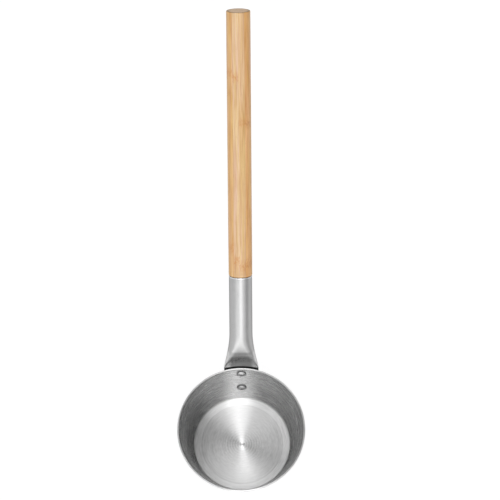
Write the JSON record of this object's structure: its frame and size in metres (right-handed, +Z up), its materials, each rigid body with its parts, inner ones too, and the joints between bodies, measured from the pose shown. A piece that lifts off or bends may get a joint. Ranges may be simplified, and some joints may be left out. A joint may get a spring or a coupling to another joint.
{
  "type": "sauna ladle",
  "caption": "Tapered spun metal cup riveted to the pressed flat end of a bent tube, with a round wooden handle in the tube, for throwing water on hot sauna stones.",
  "frame": {"origin": "centre of the cup's flat underside", "axes": "+Z up along the cup's axis, +Y horizontally from the cup towards the handle, +X across the handle"},
  "size_m": [0.1086, 0.3641, 0.2414],
  "materials": {
    "cup_aluminium": "turned and brushed round the axis, natural anodised",
    "neck_aluminium": "satin, natural anodised",
    "rivet_aluminium": "bright as pressed",
    "bamboo": "sanded laminated bamboo, oiled",
    "steel": "plain zinc plated"
  },
  "bodies": {
    "root": {"cup": "cup_aluminium", "neck": "neck_aluminium", "handle": "bamboo", "upper_rivet": "rivet_aluminium", "lower_rivet": "rivet_aluminium", "upper_rivet_stem": "steel", "lower_rivet_stem": "steel", "handle_screw": "steel"}
  },
  "joints": []
}
